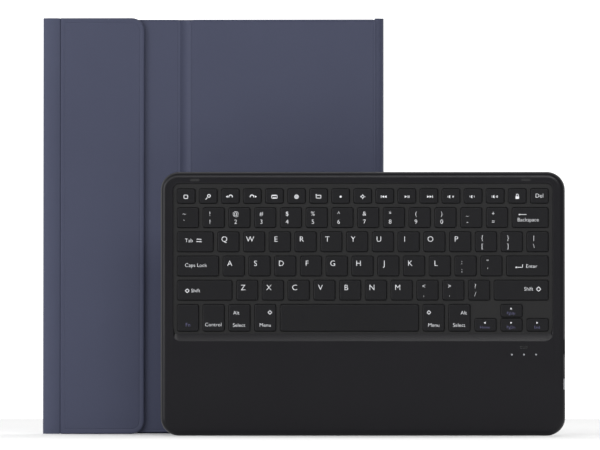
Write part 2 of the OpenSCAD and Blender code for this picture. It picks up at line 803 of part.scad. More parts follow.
wide_panel_skin();
wide_panel_board();
wide_panel_lining();
dock_magnets();
narrow_panel_skin();
narrow_panel_board();
narrow_panel_lining();
spine_skin();
spine_board();
back_cover_skin();
back_cover_board();
back_cover_lining();
latch_plates();
tablet_tray();
strip_inner();
strip_outer();
flap_skin();
flap_board();
flap_lining();
flap_magnets();
top_case();
key_deck();
keyboard_base();
support_plate();
membrane_sheet();
rubber_domes();
scissor_links();
circuit_board();
battery_cell();
flat_cable();
charging_socket();
switch_body();
power_switch_knob();
indicator_lights();
bumper_pads();
base_feet();
base_screws();
keyboard_magnets();
space_bar();
left_shift_key();
right_shift_key();
enter_key();
caps_lock_key();
tab_key();
backspace_key();
fn_key();
control_key();
left_alt_key();
left_menu_key();
right_menu_key();
right_alt_key();
arrow_left_key();
arrow_up_key();
arrow_down_key();
arrow_right_key();
function_keys();
number_keys();
top_letter_keys();
home_letter_keys();
bottom_letter_keys();
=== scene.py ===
# %% [markdown]
# # A tablet keyboard case
# A soft folio stands on its short edge with its latch flap folded back, and its thin keyboard
# stands in front of it. The imported CAD model is the fixed frame: it gives every place and size.
# Blender adds what CAD can't: soft turned leather edges, soft creases, rounded key caps with
# printed legends, and the finishes. The pieces ride on the CAD bodies, except the leather sheets
# at the crease, the spine's corners and the latch strip, which stay where they are made.

# %% Load the frame
import json
import math

import bpy
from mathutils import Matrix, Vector


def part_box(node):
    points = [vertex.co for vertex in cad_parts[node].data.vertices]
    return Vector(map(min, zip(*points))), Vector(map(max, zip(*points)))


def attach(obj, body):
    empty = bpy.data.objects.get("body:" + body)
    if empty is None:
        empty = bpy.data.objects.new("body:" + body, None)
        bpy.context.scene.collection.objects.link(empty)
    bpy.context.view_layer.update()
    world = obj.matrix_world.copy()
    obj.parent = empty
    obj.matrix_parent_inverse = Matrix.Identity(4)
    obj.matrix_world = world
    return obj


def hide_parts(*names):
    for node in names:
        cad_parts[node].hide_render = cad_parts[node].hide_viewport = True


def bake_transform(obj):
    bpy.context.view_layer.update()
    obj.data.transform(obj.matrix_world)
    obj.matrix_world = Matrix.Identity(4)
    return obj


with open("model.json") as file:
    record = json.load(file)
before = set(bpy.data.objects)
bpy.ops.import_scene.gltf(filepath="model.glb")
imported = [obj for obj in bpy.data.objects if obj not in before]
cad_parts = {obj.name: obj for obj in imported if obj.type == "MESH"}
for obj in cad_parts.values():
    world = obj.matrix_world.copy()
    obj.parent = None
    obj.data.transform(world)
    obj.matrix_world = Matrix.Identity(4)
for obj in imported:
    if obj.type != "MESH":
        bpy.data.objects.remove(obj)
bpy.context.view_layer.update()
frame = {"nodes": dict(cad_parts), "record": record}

MM = 0.001

# %% [markdown]
# A few small helpers carry most of the modelling. One clears the selection, because operators act
# on everything that is selected. One picks vertices, edges or faces in code, by where they are,
# and leaves the piece in edit mode. One applies the place, so a piece's object ends at the origin
# and its place is in its mesh, as it is for the CAD nodes. The others apply a modifier, make the
# box that most pieces start as, and join pieces.

# %% Helpers for picking and placing


def deselect():
    if bpy.context.object and bpy.context.object.mode != "OBJECT":
        bpy.ops.object.mode_set(mode="OBJECT")
    bpy.ops.object.select_all(action="DESELECT")


def only(piece):
    deselect()
    piece.select_set(True)
    bpy.context.view_layer.objects.active = piece
    return piece


def pick(piece, kind, test):
    """Selects each vertex, edge or face of the piece for which test(...) is true, in edit mode."""
    only(piece)
    bpy.ops.object.mode_set(mode="EDIT")
    bpy.ops.mesh.select_mode(type=kind)
    bpy.ops.mesh.select_all(action="DESELECT")
    bpy.ops.object.mode_set(mode="OBJECT")
    mesh = piece.data
    found = 0
    for item in {"VERT": mesh.vertices, "EDGE": mesh.edges, "FACE": mesh.polygons}[kind]:
        if kind == "VERT":
            wanted = test(item.co)
        elif kind == "EDGE":
            a, b = (mesh.vertices[i].co for i in item.vertices)
            wanted = test((a + b) / 2, b - a)
        else:
            wanted = test(item.center, item.normal, item.area)
        item.select = bool(wanted)
        found += bool(wanted)
    bpy.ops.object.mode_set(mode="EDIT")
    return found


def done(piece, angle=35):
    """Leaves edit mode, applies the place and shades the piece smooth except at its corners."""
    only(piece)
    bpy.ops.object.transform_apply(location=True, rotation=True, scale=True)
    bpy.ops.object.shade_smooth_by_angle(angle=math.radians(angle))
    return piece


def apply_modifier(piece, kind, **settings):
    only(piece)
    modifier = piece.modifiers.new(kind.title(), kind)
    for name, value in settings.items():
        setattr(modifier, name, value)
    bpy.ops.object.modifier_apply(modifier=modifier.name)
    return piece


def block(name, low, high):
    """A box between two corners: the start of most pieces."""
    deselect()
    low, high = Vector(low), Vector(high)
    bpy.ops.mesh.primitive_cube_add(size=1, location=(low + high) / 2)
    piece = bpy.context.object
    piece.name = name
    piece.scale = high - low
    bpy.ops.object.transform_apply(location=True, rotation=True, scale=True)
    return piece


def join(pieces, name):
    deselect()
    for piece in pieces:
        piece.select_set(True)
    bpy.context.view_layer.objects.active = pieces[0]
    if len(pieces) > 1:
        bpy.ops.object.join()
    joined = bpy.context.view_layer.objects.active
    joined.name = name
    return joined


# %% [markdown]
# A stiffened leather panel is a board wrapped in soft skin. Its corners are round in plan and its
# rims are round in section, so a box gets two bevels: first along the four short edges through
# its thickness, then round both faces.

# %% A panel with round corners and soft rims
CLOSE = 1e-5
HOLD = 0.25 * MM


def panel(name, low, high, corners, rim, rim_back=None, steps=6):
    """corners gives the radius of the left and of the right corners, seen from the front."""
    piece = block(name, low, high)
    low, high = Vector(low), Vector(high)
    for side, radius in ((low.x, corners[0]), (high.x, corners[1])):
        if radius:
            pick(piece, "EDGE", lambda mid, way: abs(way.y) > CLOSE and abs(mid.x - side) < CLOSE)
            bpy.ops.mesh.bevel(offset=radius, segments=steps, affect="EDGES")
    for y, width in ((low.y, rim), (high.y, rim if rim_back is None else rim_back)):
        if width:
            pick(piece, "EDGE", lambda mid, way: abs(mid.y - y) < CLOSE and abs(way.y) < CLOSE)
            bpy.ops.mesh.bevel(offset=width, segments=4, affect="EDGES")
            hold_flat(piece, y)
    return done(piece)


def hold_flat(piece, y, width=HOLD):
    """Adds a narrow ring inside the flat face at y, so the soft rim's shading ends there."""
    pick(piece, "FACE", lambda mid, n, area: abs(mid.y - y) < CLOSE and abs(n.y) > 0.999)
    bpy.ops.mesh.inset(thickness=width, depth=0)


def press_line(piece, y, inset, toward=-1, width=0.4 * MM, depth=0.2 * MM):
    """Presses a narrow line into the flat face at y, parallel to the piece's outline."""
    found = pick(piece, "FACE", lambda mid, n, area: abs(mid.y - y) < CLOSE and n.y * toward > 0.9
                 and area > 1e-3)
    assert found == 1, found
    bpy.ops.mesh.inset(thickness=inset, depth=0)
    bpy.ops.mesh.inset(thickness=width, depth=-depth)
    bpy.ops.mesh.inset(thickness=width, depth=depth)
    bpy.ops.mesh.inset(thickness=HOLD, depth=0)
    return done(piece)


# %% [markdown]
# The front cover is two panels with a crease between them. Each panel's leather follows its CAD
# skin's box, but stops short of the crease, where a separate strip bends. A pressed line runs just
# inside each panel's edge, where the turned-in leather ends.

# %% The two front panels
wide_low, wide_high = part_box("wide_panel_skin")
narrow_low, narrow_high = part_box("narrow_panel_skin")
spine_low, spine_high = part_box("spine_skin")
back_low, back_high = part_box("back_cover_skin")
fold_x = (wide_low.x + narrow_high.x) / 2
CREASE_HALF = 3.0 * MM
CORNER_SET = 2.2 * MM
PANEL_CORNER = 3.0 * MM
PANEL_RIM = 0.7 * MM
INNER_RIM = 0.3 * MM
LINE_INSET = 0.6 * MM

wide = panel("wide_panel_leather", (fold_x + CREASE_HALF, wide_low.y, wide_low.z),
             (wide_high.x - CORNER_SET, wide_high.y, wide_high.z),
             (PANEL_CORNER, PANEL_CORNER), PANEL_RIM, INNER_RIM)
press_line(wide, wide_low.y, LINE_INSET)
narrow = panel("narrow_panel_leather", narrow_low,
               (fold_x - CREASE_HALF, narrow_high.y, narrow_high.z), (0, PANEL_CORNER),
               PANEL_RIM, INNER_RIM)
press_line(narrow, narrow_low.y, LINE_INSET)
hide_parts("wide_panel_skin")
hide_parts("narrow_panel_skin")
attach(wide, "wide_panel")
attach(narrow, "narrow_panel")
print("wide panel:", [round(v / MM, 1) for v in wide.dimensions])

# %% [markdown]
# A crease is leather alone, with no board behind it. It starts as a flat grid, one column of
# vertices for each point of its section. Each column is moved to its place, and a Solidify
# modifier gives the sheet its thickness.

# %% A leather sheet that follows a section
LIFT = 1.0  # while columns are placed, a placed one is lifted clear of those still in the grid


def folded_sheet(name, section, z_low, z_high, thickness):
    """section lists the (x, y) points on the sheet's middle; it runs from z_low to z_high."""
    deselect()
    columns = len(section) - 1
    bpy.ops.mesh.primitive_grid_add(x_subdivisions=columns, y_subdivisions=1, size=1)
    piece = bpy.context.object
    piece.name = name
    for k, (x, y) in enumerate(section):
        start = k / columns - 0.5
        for side, z in ((-0.5, z_low), (0.5, z_high)):
            pick(piece, "VERT", lambda v: v.z == 0 and abs(v.x - start) < 0.1 / columns
                 and abs(v.y - side) < CLOSE)
            bpy.ops.transform.translate(value=(x - start, y - side, z + LIFT))
    only(piece)
    bpy.ops.transform.translate(value=(0, 0, -LIFT))
    bpy.ops.object.transform_apply(location=True, rotation=True, scale=True)
    apply_modifier(piece, "SOLIDIFY", thickness=thickness, offset=0)
    return done(piece, 60)


def arc(centre, radius, start, end, steps):
    """Points on a circle, from one angle to another in degrees."""
    turns = [math.radians(start + (end - start) * k / steps) for k in range(steps + 1)]
    return [(centre[0] + radius * math.cos(t), centre[1] + radius * math.sin(t)) for t in turns]


# %% The crease between the panels
LEATHER = 0.8 * MM
DIP = 0.9 * MM
DIP_STEPS = 8
UNDER = 0.4 * MM
BELOW_FACE = 0.15 * MM
mid_y = wide_low.y + LEATHER / 2
half = CREASE_HALF + UNDER
crease_section = []
for k in range(2 * DIP_STEPS + 1):
    t = k / DIP_STEPS - 1
    sink = DIP * (0.5 + 0.5 * math.cos(math.pi * t)) ** 0.5
    crease_section.append((fold_x + t * half, mid_y + BELOW_FACE + sink))
crease = folded_sheet("front_crease", crease_section, wide_low.z + UNDER,
                      wide_high.z - UNDER, LEATHER)
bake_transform(crease)

# %% [markdown]
# The spine turns into the front cover and into the back cover round a soft corner. Each corner is
# one sheet: a short flat run, a quarter circle and another flat run.

# %% The spine and its two soft corners
CORNER_R = 4.2 * MM
CORNER_SINK = 0.35 * MM
COVER_RUN = 1.2 * MM
SPINE_RUN = 1.6 * MM
SHEET_INSET = 0.3 * MM


def spine_corner(name, y_edge, toward):
    """The corner at the front (toward = 1) or the back (toward = -1) of the spine."""
    x_out = spine_high.x - LEATHER / 2
    y_out = y_edge + toward * (LEATHER / 2 + CORNER_SINK)
    centre = (x_out - CORNER_R, y_out + toward * CORNER_R)
    turn = arc(centre, CORNER_R, -90 * toward, 0, 8)
    start = wide_high.x - CORNER_SET - COVER_RUN
    section = [(start, y_out), (start + 1 * MM, y_out), *turn,
               (x_out, centre[1] + toward * SPINE_RUN)]
    return folded_sheet(name, section, spine_low.z + SHEET_INSET, spine_high.z - SHEET_INSET,
                        LEATHER)


front_corner = spine_corner("spine_front_corner", spine_low.y, 1)
back_corner = spine_corner("spine_back_corner", spine_high.y, -1)
corner_len = CORNER_R + COVER_RUN
spine = panel("spine_leather", (spine_low.x, spine_low.y + corner_len, spine_low.z),
              (spine_high.x, spine_high.y - corner_len, spine_high.z), (0, 0), 0, 0)
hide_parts("spine_skin")
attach(spine, "spine")
board_low, board_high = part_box("spine_board")
stiffener = panel("spine_stiffener", (board_low.x, board_low.y + CORNER_R, board_low.z),
                  (board_high.x, board_high.y - CORNER_R, board_high.z), (0, 0), 0, 0)
BOARD_RIM = 0.8 * MM
pick(stiffener, "EDGE", lambda mid, way: abs(way.z) > CLOSE)
bpy.ops.mesh.bevel(offset=BOARD_RIM, segments=3, affect="EDGES")
done(stiffener)
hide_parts("spine_board")
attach(stiffener, "spine")
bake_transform(front_corner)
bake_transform(back_corner)
for leather in (spine, front_corner, back_corner):
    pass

# %% [markdown]
# The back cover is one large panel with a rounded window for the tablet's camera. The window is
# cut with a Boolean, using a box with round corners as the cutter, which is then deleted. The
# pressed line is made first, while the back face is still whole.

# %% The back cover and its camera window
lining_low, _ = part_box("back_cover_lining")


def cut_out(piece, cutter):
    """Takes the cutter's shape out of the piece and deletes the cutter."""
    apply_modifier(piece, "BOOLEAN", operation="DIFFERENCE", solver="EXACT", object=cutter)
    only(cutter)
    bpy.ops.object.delete()
    return piece


def window_box():
    """The camera window in x and z, read from the opening that the record states."""
    for opening in frame["record"]["physics"]["openings"]:
        if opening["name"] == "camera_window":
            return opening["box_m"]
    raise ValueError("the record states no camera window")


window_low, window_high = (Vector(v) for v in window_box())
WINDOW_GROW = 3.0 * MM
WINDOW_R = 9 * MM
OVERSHOOT = 5 * MM
back = panel("back_cover_leather", (back_low.x, back_low.y, back_low.z),
             (back_high.x - CORNER_SET, back_high.y, back_high.z), (PANEL_CORNER, 0), INNER_RIM,
             PANEL_RIM)
press_line(back, back_high.y, LINE_INSET, toward=1)
cutter = panel("window_cutter",
               (window_low.x - WINDOW_GROW, back_low.y - OVERSHOOT, window_low.z - WINDOW_GROW),
               (window_high.x + WINDOW_GROW, back_high.y + OVERSHOOT,
                window_high.z + WINDOW_GROW),
               (WINDOW_R, WINDOW_R), 0, 0, 8)
cut_out(back, cutter)
done(back)
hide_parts("back_cover_skin")
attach(back, "back_cover")

# %% [markdown]
# A thin moulded trim lines the window, so the cut leather doesn't fray. It is a ring: a rounded
# box with a smaller rounded box cut through it.

# %% Trim round the camera window
TRIM = 1.2 * MM
TRIM_PROUD = 0.3 * MM
TRIM_RIM = 0.25 * MM
TRIM_FIT = 0.02 * MM
trim_out = WINDOW_GROW - TRIM_FIT
trim = panel("camera_window_trim",
             (window_low.x - trim_out, lining_low.y, window_low.z - trim_out),
             (window_high.x + trim_out, back_high.y + TRIM_PROUD, window_high.z + trim_out),
             (WINDOW_R, WINDOW_R), 0, TRIM_RIM, 8)
inner = trim_out - TRIM
trim_cutter = panel("trim_cutter",
                    (window_low.x - inner, lining_low.y - OVERSHOOT, window_low.z - inner),
                    (window_high.x + inner, back_high.y + OVERSHOOT, window_high.z + inner),
                    (WINDOW_R - TRIM, WINDOW_R - TRIM), 0, 0, 8)
cut_out(trim, trim_cutter)
done(trim)
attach(trim, "back_cover")

# %% [markdown]
# The latch flap is folded back on the narrow panel. Soft strips join it to the panel's edge: they
# run out, turn back on themselves in a full round, and end at the flap's crease. One sheet makes
# the turn and both strips, slightly crowned, as padded leather is. Two short sheets join it to
# the panel and to the flap.

# %% The latch strip's round turn
inner_low, inner_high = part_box("strip_inner")
outer_low, outer_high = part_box("strip_outer")
flap_low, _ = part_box("flap_lining")
flap_skin_low, flap_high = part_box("flap_skin")
STRIP = inner_high.y - inner_low.y
inner_mid = (inner_low.y + inner_high.y) / 2
outer_mid = (outer_low.y + outer_high.y) / 2
turn_mid = (inner_mid + outer_mid) / 2
turn_r = (inner_mid - outer_mid) / 2
CROWN = 0.7 * MM
INNER_STEPS = 5
OUTER_STEPS = 8
inner_run = inner_high.x - inner_low.x
outer_run = outer_high.x - outer_low.x
strip_section = [(inner_high.x - k / INNER_STEPS * inner_run, inner_mid)
                 for k in range(INNER_STEPS)]
strip_section += arc((inner_low.x, turn_mid), turn_r, 90, 270, 10)
for k in range(1, OUTER_STEPS):
    t = k / OUTER_STEPS
    rise = CROWN * math.sin(math.pi * min(1, t * 1.05)) ** 0.8
    strip_section.append((outer_low.x + t * outer_run, outer_mid - rise))
strip_section.append((outer_high.x, outer_mid))
turn = folded_sheet("latch_strip", strip_section, inner_low.z, inner_high.z, STRIP)
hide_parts("strip_inner", "strip_outer")
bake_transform(turn)

# %% The two short joins at the strip's ends
# Each section runs under the leather on both sides, so no gap shows beside it.
edge_join = folded_sheet(
    "latch_edge_join",
    [(narrow_low.x + 1.5 * MM, inner_mid + 0.3 * MM), (narrow_low.x, inner_mid + 0.1 * MM),
     (narrow_low.x - 0.35 * MM, inner_mid), (inner_high.x, inner_mid),
     (inner_high.x - 1 * MM, inner_mid)],
    narrow_low.z + SHEET_INSET, narrow_high.z - SHEET_INSET, LEATHER)
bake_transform(edge_join)
flap_join = folded_sheet(
    "latch_flap_join",
    [(outer_high.x - 1.2 * MM, outer_mid), (outer_high.x, outer_mid + 0.1 * MM),
     (outer_high.x + 0.3 * MM, outer_mid + 0.25 * MM), (flap_skin_low.x, outer_mid + 0.1 * MM),
     (flap_skin_low.x + 1.2 * MM, outer_mid)],
    outer_low.z + SHEET_INSET, outer_high.z - SHEET_INSET, LEATHER * 0.9)
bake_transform(flap_join)
for leather in (edge_join, flap_join):
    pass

# %% [markdown]
# The flap is leather on both faces, with a board and magnets inside. It is a panel whose free
# corners are rounder than the rest, with its own pressed line a little further in.

# %% The flap
FLAP_R = 9 * MM
FLAP_RIM = 1.0 * MM
FLAP_LINE = 1.7 * MM
flap = panel("flap_leather", (flap_skin_low.x, flap_low.y, flap_skin_low.z), flap_high,
             (0, FLAP_R), FLAP_RIM, FLAP_RIM, 8)
press_line(flap, flap_low.y, FLAP_LINE)
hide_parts("flap_skin", "flap_lining")
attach(flap, "flap")
print("folio pieces made")

# %% [markdown]
# The keyboard's top case is one thin moulding. In section its sides are nearly a quarter round, so
# its outline gets a wide bevel at the front and a narrow one at the back.

# %% The keyboard's case
case_low, case_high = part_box("top_case")
deck_low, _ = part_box("key_deck")
plate_low, plate_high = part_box("support_plate")
face_y = case_low.y
back_face_y = case_high.y
CASE_R = 12.5 * MM
CASE_ROUND = 4.2 * MM
CASE_BACK_RIM = 0.6 * MM
LIP_W = 5.5 * MM
well_low = Vector((plate_low.x, deck_low.y, plate_low.z))
well_high = Vector((plate_high.x, deck_low.y, plate_high.z))
case = panel("keyboard_case", case_low, case_high, (CASE_R, CASE_R), 0, 0, 14)
pick(case, "EDGE", lambda mid, way: abs(mid.y - face_y) < CLOSE and abs(way.y) < CLOSE)
bpy.ops.mesh.bevel(offset=CASE_ROUND, segments=10, affect="EDGES", profile=0.5)
hold_flat(case, face_y)
pick(case, "EDGE", lambda mid, way: abs(mid.y - back_face_y) < CLOSE and abs(way.y) < CLOSE)
bpy.ops.mesh.bevel(offset=CASE_BACK_RIM, segments=3, affect="EDGES")
done(case)

# %% [markdown]
# The key well is cut into the case with a box that has round corners, and below the keys a sloped
# lip leads from the face down to the deck. The lip's cutter is a box whose lower back edge is
# raised to the well's own edge, so it becomes a wedge. The rim of both is slightly softened.

# %% The key well and its sloped lip
WELL_R = 4.5 * MM
WELL_FLOOR = 1.02 * MM
WELL_RIM = 0.5 * MM
OVER = 3 * MM
APART = 0.05 * MM
well = panel("well_cutter", (well_low.x, face_y - OVER, well_low.z),
             (well_high.x, back_face_y - WELL_FLOOR, well_high.z), (WELL_R, WELL_R), 0, 0, 6)
cut_out(case, well)
slope_back = deck_low.y + APART
slope = block("slope_cutter", (well_low.x, face_y - APART, well_low.z - LIP_W),
              (well_high.x, slope_back, well_low.z + WELL_R))
pick(slope, "EDGE", lambda mid, way: abs(way.y) > CLOSE and mid.z < well_low.z)
bpy.ops.mesh.bevel(offset=WELL_R, segments=6, affect="EDGES")
pick(slope, "VERT", lambda v: abs(v.y - slope_back) < CLOSE and v.z < well_low.z - CLOSE)
bpy.ops.transform.resize(value=(1 - 2 * LIP_W * 0.2 / (well_high.x - well_low.x), 1, 0.02),
                         center_override=((well_low.x + well_high.x) / 2, deck_low.y, well_low.z))
only(slope)
cut_out(case, slope)
pick(case, "EDGE", lambda mid, way: abs(mid.y - face_y) < CLOSE and abs(way.y) < CLOSE
     and well_low.x - CLOSE < mid.x < well_high.x + CLOSE
     and well_low.z - LIP_W - CLOSE < mid.z < well_high.z + CLOSE)
bpy.ops.mesh.bevel(offset=WELL_RIM, segments=3, affect="EDGES")
done(case)

# %% [markdown]
# Behind the face the case is hollow, which makes room for the board and the battery. The same kind
# of cutter takes out the inside, and small ones make the switch's slot and scoop, the charging
# slot, the status window's recess and the two pockets for the rubber pads.

# %% Hollow inside and small openings
WALL = 2.4 * MM
FACE_T = 1.3 * MM
RIB = 1.5 * MM
hollow = panel("hollow_cutter", (case_low.x + WALL, face_y + FACE_T, case_low.z + WALL),
               (case_high.x - WALL, back_face_y + OVER, well_low.z - LIP_W - RIB),
               (CASE_R - WALL, CASE_R - WALL), 0, 0, 6)
cut_out(case, hollow)
base_low, base_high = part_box("keyboard_base")
base_r = CASE_R - (base_low.x - case_low.x)
BASE_FIT = 0.03 * MM
pocket = panel("base_pocket_cutter", (base_low.x, base_low.y - BASE_FIT, base_low.z),
               (base_high.x, back_face_y + OVER, base_high.z), (base_r, base_r), 0, 0, 8)
cut_out(case, pocket)
knob_low, knob_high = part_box("power_switch_knob")
socket_low, socket_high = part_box("charging_socket")
GAP = 0.4 * MM
GAP_Y = 0.28 * MM
SWITCH_TRAVEL = 3 * MM
SIDE_DEPTH = 3.4 * MM
slot_low_z = knob_low.z - SWITCH_TRAVEL - GAP
slot_cutter = block("slot_cutter", (case_high.x - SIDE_DEPTH, knob_low.y - GAP_Y, slot_low_z),
                    (case_high.x + OVER, knob_high.y + GAP_Y, knob_high.z + GAP))
cut_out(case, slot_cutter)
deselect()
SCOOP = (2.6 * MM, 2.9 * MM, 8.6 * MM)
SCOOP_OUT = 1.0 * MM
SCOOP_BACK = 1.6 * MM
scoop_mid = (case_high.x + SCOOP_OUT, face_y + SCOOP_BACK, (slot_low_z + knob_high.z) / 2)
bpy.ops.mesh.primitive_uv_sphere_add(segments=32, ring_count=16, radius=1, location=scoop_mid)
scoop = bpy.context.object
scoop.scale = SCOOP
done(scoop)
cut_out(case, scoop)
FIT = 0.1 * MM
SOCKET_R = 1.0 * MM
socket_cutter = block("socket_cutter",
                      (case_high.x - SIDE_DEPTH, socket_low.y - FIT, socket_low.z - FIT),
                      (case_high.x + OVER, socket_high.y + FIT, socket_high.z + FIT))
pick(socket_cutter, "EDGE", lambda mid, way: abs(way.x) > CLOSE)
bpy.ops.mesh.bevel(offset=SOCKET_R, segments=4, affect="EDGES")
done(socket_cutter)
cut_out(case, socket_cutter)
lights_low, lights_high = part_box("indicator_lights")
pads_low, pads_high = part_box("bumper_pads")
PAD_W = 6.5 * MM
PILL_W = 5.2 * MM
PILL_H = 1.6 * MM
PILL_SHIFT = 0.15 * MM


def stadium_cutter(name, mid_x, mid_z, w, h, y_front, y_back):
    """A cutter with a stadium outline: a box whose four short edges get a full round."""
    return panel(name, (mid_x - w / 2, y_front, mid_z - h / 2),
                 (mid_x + w / 2, y_back, mid_z + h / 2), (h / 2.02, h / 2.02), 0, 0, 5)


pad_mid_z = (pads_low.z + pads_high.z) / 2
pad_h = pads_high.z - pads_low.z
PAD_DEPTH = 0.6 * MM
PILL_DEPTH = 0.7 * MM
for pad_x in (pads_low.x + PAD_W / 2, pads_high.x - PAD_W / 2):
    cut_out(case, stadium_cutter("pad_cutter", pad_x, pad_mid_z, PAD_W + 2 * FIT,
                                 pad_h + 2 * FIT, face_y - OVER, face_y + PAD_DEPTH))
light_mid_x = (lights_low.x + lights_high.x) / 2
pill_mid_z = lights_high.z - PILL_H / 2
pill_x = light_mid_x - PILL_SHIFT
cut_out(case, stadium_cutter("pill_cutter", pill_x, pill_mid_z, PILL_W + 2 * FIT,
                             PILL_H + 2 * FIT, face_y - OVER, face_y + PILL_DEPTH))
done(case, 40)
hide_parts("top_case")
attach(case, "keyboard")
print("case faces:", len(case.data.polygons))

# %% [markdown]
# Each light is a milky pipe inside the case, and a tiny domed button of the same material shows
# at the surface. The dark window above them has its own thin lens.

# %% Light buttons
LIGHT_R = 0.5 * MM
BEAD_GROW = 1.3
BEAD_FLAT = 0.25
light_z = lights_low.z + LIGHT_R
light_places = [lights_low.x + LIGHT_R, light_mid_x, lights_high.x - LIGHT_R]
beads = []
for light_x in light_places:
    deselect()
    bpy.ops.mesh.primitive_uv_sphere_add(segments=16, ring_count=8, radius=LIGHT_R * BEAD_GROW,
                                         location=(light_x, face_y, light_z))
    bead = bpy.context.object
    bead.scale = (1, BEAD_FLAT, 1)
    beads.append(done(bead))
lights = join(beads, "light_buttons")
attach(lights, "keyboard")
LENS_SUNK = 0.05 * MM
LENS_BACK = 0.5 * MM
LENS_RIM = 0.1 * MM
lens = panel("status_window", (pill_x - PILL_W / 2, face_y + LENS_SUNK, pill_mid_z - PILL_H / 2),
             (pill_x + PILL_W / 2, face_y + LENS_BACK, pill_mid_z + PILL_H / 2),
             (PILL_H / 2.02, PILL_H / 2.02), LENS_RIM, 0, 5)
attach(lens, "keyboard")

# %% [markdown]
# A key cap is a shallow box with round corners in plan, a soft rim on top and a hollow underneath,
# where the links and the dome are. Caps of one size are modelled once and copied, each copy with
# its own mesh, and the caps of one CAD node are joined, because they move together.

# %% Key caps
KEY_R = 1.3 * MM
KEY_RIM = 0.5 * MM
KEY_WALL = 0.8 * MM
KEY_HOLLOW = 1.2 * MM
STEEP = 0.01 * MM
KEY_HOLD = 0.2 * MM
KEY_GAP = 3.1 * MM
FN_GAP = 2.9 * MM
caps_made = {}


def cap(low, high):
    """A key cap between two corners, copied from an earlier one of the same size if any."""
    size = tuple(round((b - a) / MM, 2) for a, b in zip(low, high))
    if size in caps_made:
        first, first_low = caps_made[size]
        copy = first.copy()
        copy.data = first.data.copy()
        bpy.context.collection.objects.link(copy)
        copy.location = Vector(low) - first_low
        return done(copy)
    piece = panel("cap", low, high, (KEY_R, KEY_R), 0, 0, 5)
    pick(piece, "EDGE", lambda mid, way: abs(mid.y - low[1]) < CLOSE and abs(way.y) < CLOSE)
    bpy.ops.mesh.bevel(offset=KEY_RIM, segments=3, affect="EDGES")
    hold_flat(piece, low[1], KEY_HOLD)
    pick(piece, "FACE", lambda mid, n, area: n.y > 0.9 and abs(mid.y - high[1]) < CLOSE)
    bpy.ops.mesh.inset(thickness=KEY_WALL, depth=0)
    bpy.ops.mesh.inset(thickness=STEEP, depth=-KEY_HOLLOW)
    done(piece)
    caps_made[size] = (piece, Vector(low))
    return piece


ROWS = {"function_keys": (17, FN_GAP), "number_keys": (13, KEY_GAP),
        "top_letter_keys": (13, KEY_GAP), "home_letter_keys": (11, KEY_GAP),
        "bottom_letter_keys": (10, KEY_GAP)}
SINGLES = ["space_bar", "left_shift_key", "right_shift_key", "enter_key", "caps_lock_key",
           "tab_key", "backspace_key", "fn_key", "control_key", "left_alt_key", "left_menu_key",
           "right_menu_key", "right_alt_key", "arrow_left_key", "arrow_up_key",
           "arrow_down_key", "arrow_right_key"]
key_boxes = {}
for node in [*ROWS, *SINGLES]:
    low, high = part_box(node)
    count, gap = ROWS.get(node, (1, 0))
    width = (high.x - low.x - (count - 1) * gap) / count
    starts = [low.x + k * (width + gap) for k in range(count)]
    key_boxes[node] = [((x, low.y, low.z), (x + width, high.y, high.z)) for x in starts]


key_rows = {}
for node, boxes in key_boxes.items():
    key_rows[node] = [cap(low, high) for low, high in boxes]
for node, pieces in key_rows.items():
    keys = join(pieces, node.replace("_key", "").replace("space_bar", "space") + "_caps")
    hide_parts(node)
    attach(keys, node)
    key_rows[node] = keys
print("caps made of", len(caps_made), "sizes")

# %% [markdown]
# The legends are printed ink, so each is a very thin solid just proud of its cap. Letters come
# from text objects turned into meshes. Arrows and signs are built from flat bars, discs and
# rings. A legend is placed by fractions of its cap's width and height, from the top left.

# %% Ink shapes
INK = 0.03 * MM
INK_LIFT = 0.01 * MM
THIN = 0.03 * MM
CAP_SHARE = 0.73
RING_SHARE = 0.20


def flat_shape(kind, x, z, y, w, h=None, turn=0):
    """One flat mark: a bar w by h, or a disc, triangle, ring or arch of width w."""
    deselect()
    if kind == "bar":
        bpy.ops.mesh.primitive_plane_add(size=1)
    else:
        corners = {"triangle": 3, "disc": 16, "ring": 20, "arch": 20}[kind]
        bpy.ops.mesh.primitive_circle_add(vertices=corners, radius=0.5, fill_type="NGON")
    mark = bpy.context.object
    mark.scale = (w, h or w, 1)
    bpy.ops.object.transform_apply(location=False, rotation=False, scale=True)
    if kind in ("ring", "arch"):
        pick(mark, "FACE", lambda mid, n, area: True)
        bpy.ops.mesh.inset(thickness=w * RING_SHARE, depth=0)
        pick(mark, "FACE", lambda mid, n, area: mid.length < 1e-6
             or (kind == "arch" and mid.y < -0.1 * w))
        bpy.ops.mesh.delete(type="FACE")
        only(mark)
    mark.rotation_euler = (0, 0, math.radians(turn))
    bpy.ops.object.transform_apply(location=False, rotation=True, scale=False)
    return stand_up(mark, x, z, y)


def stand_up(mark, x, z, y):
    """Gives a flat mark the ink's thickness and stands it on a cap's face, towards -Y."""
    apply_modifier(mark, "SOLIDIFY", thickness=INK, offset=1)
    mark.rotation_euler = (math.radians(90), 0, 0)
    mark.location = (x, y - INK_LIFT, z)
    only(mark)
    bpy.ops.object.transform_apply(location=True, rotation=True, scale=True)
    return mark


def word(text, x, z, y, height, align="CENTER"):
    """Text whose capitals are height tall; CAP_SHARE is their share of the font's size."""
    deselect()
    bpy.ops.object.text_add()
    label = bpy.context.object
    label.data.body = text
    label.data.size = height / CAP_SHARE
    label.data.align_x = align
    label.data.align_y = "CENTER"
    label.data.resolution_u = 3
    label.data.offset = -THIN
    bpy.ops.object.convert(target="MESH")
    return stand_up(bpy.context.object, x, z, y)


# %% [markdown]
# Every legend is a short list of marks. A mark gives a kind, a place as fractions of the cap, and
# a size in millimetres. The rows' letters and signs are written as plain strings and laid out by
# two patterns: one large letter, or a small sign above another.

